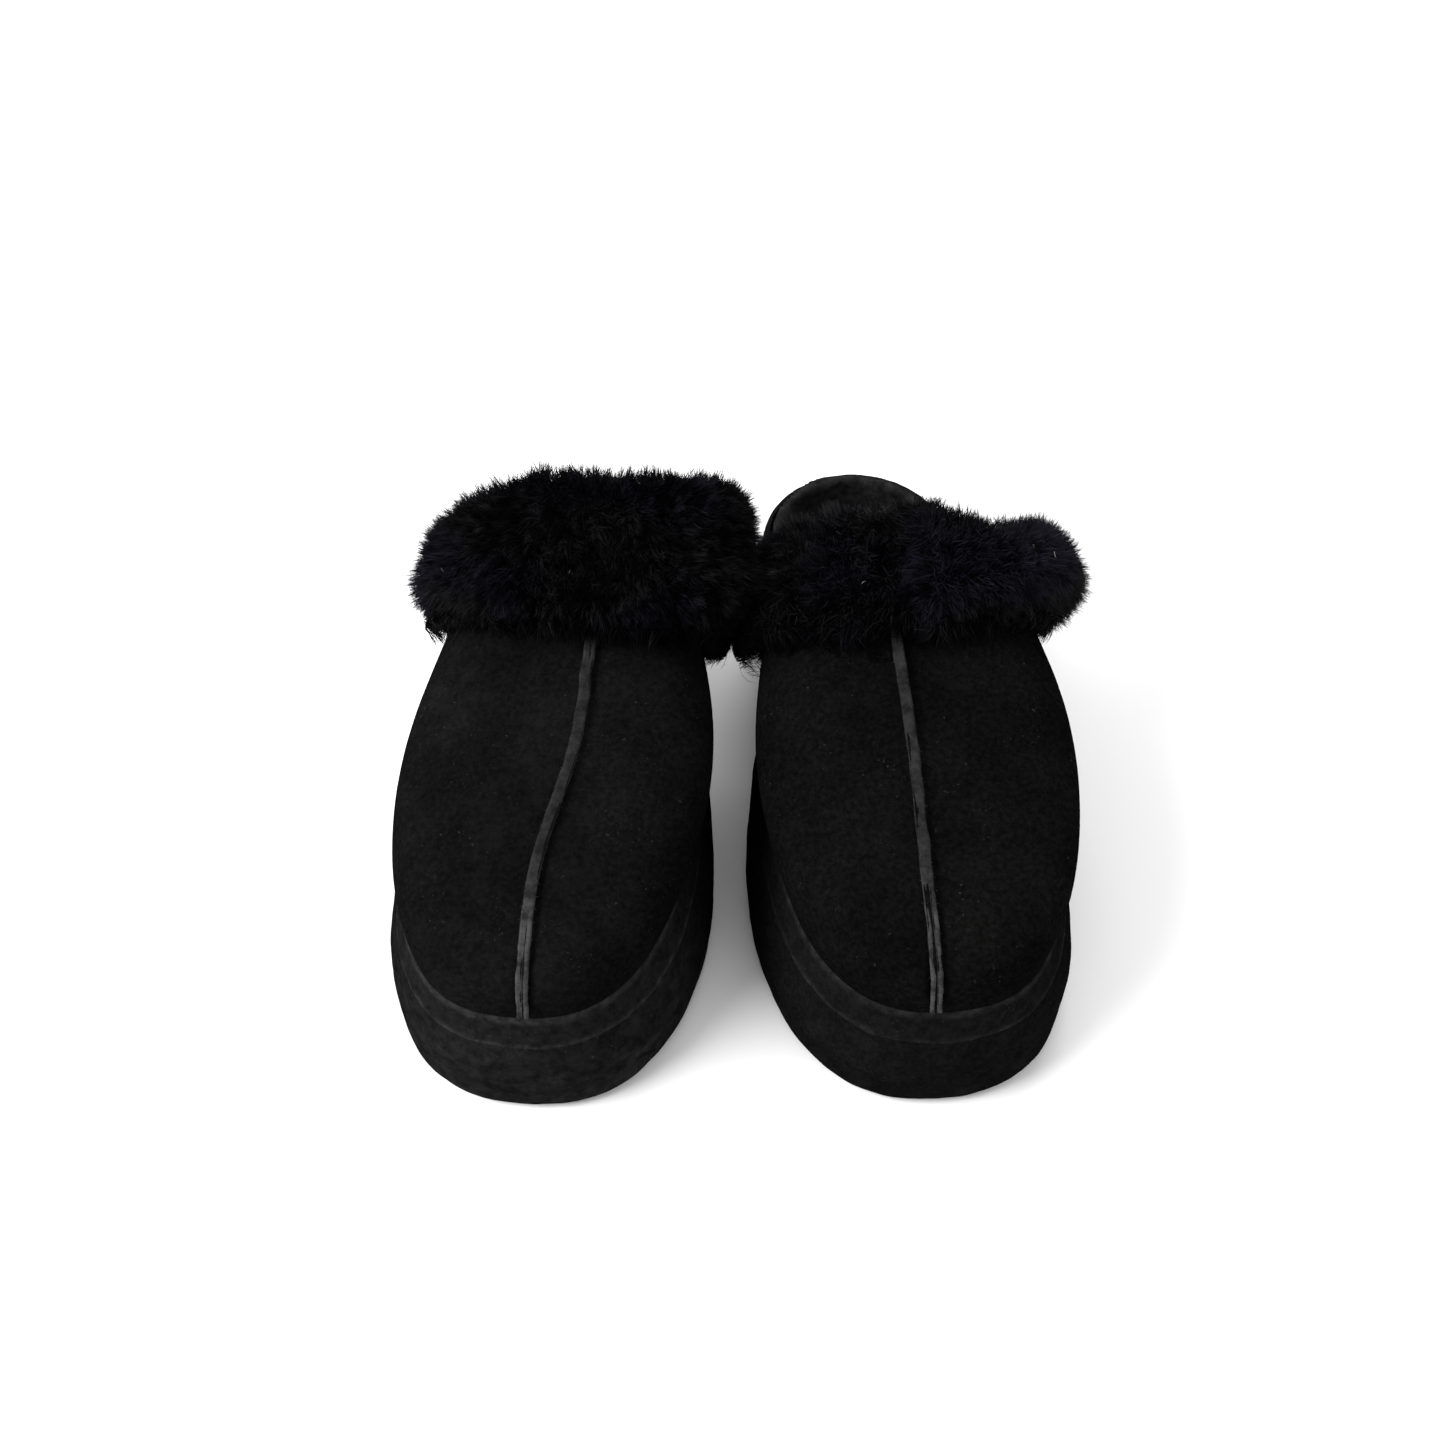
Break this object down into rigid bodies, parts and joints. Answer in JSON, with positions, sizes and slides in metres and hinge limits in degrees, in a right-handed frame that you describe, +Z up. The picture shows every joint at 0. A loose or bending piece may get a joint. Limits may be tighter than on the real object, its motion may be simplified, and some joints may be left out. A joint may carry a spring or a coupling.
{
  "type": "fluffy house slipper",
  "caption": "Platform mule slippers with suede vamps, raised centre seams, thick fur collars, low heel bands and fleece footbeds.",
  "frame": {"origin": "floor level, under the middle of the pair's bounding box", "axes": "+Z up, -Y towards the toes, +X towards the right slipper"},
  "size_m": [0.2698, 0.27, 0.1522],
  "materials": {
    "rubber_sole": "matt moulded rubber",
    "foam": "closed-cell foam",
    "suede": "napped suede",
    "suede_worn": "napped suede, rubbed along its edges",
    "board": "stiff fibre board",
    "fleece": "curly pile",
    "fur": "long clumped pile"
  },
  "bodies": {
    "left_slipper": {"left_outsole": "rubber_sole", "left_midsole": "foam", "left_platform_wrap": "suede", "left_rand_band": "suede_worn", "left_insole_board": "board", "left_footbed_foam": "foam", "left_footbed_fleece": "fleece", "left_vamp_medial": "suede", "left_vamp_lateral": "suede", "left_vamp_lining": "fleece", "left_heel_band": "suede", "left_heel_lining": "fleece", "left_fur_collar": "fur"},
    "right_slipper": {"right_outsole": "rubber_sole", "right_midsole": "foam", "right_platform_wrap": "suede", "right_rand_band": "suede_worn", "right_insole_board": "board", "right_footbed_foam": "foam", "right_footbed_fleece": "fleece", "right_vamp_medial": "suede", "right_vamp_lateral": "suede", "right_vamp_lining": "fleece", "right_heel_band": "suede", "right_heel_lining": "fleece", "right_fur_collar": "fur"}
  },
  "joints": [
    {"name": "pair_slide", "type": "slide", "parent": "left_slipper", "child": "right_slipper", "axis": [1, 0, 0], "range_m": [0, 0.15]}
  ]
}
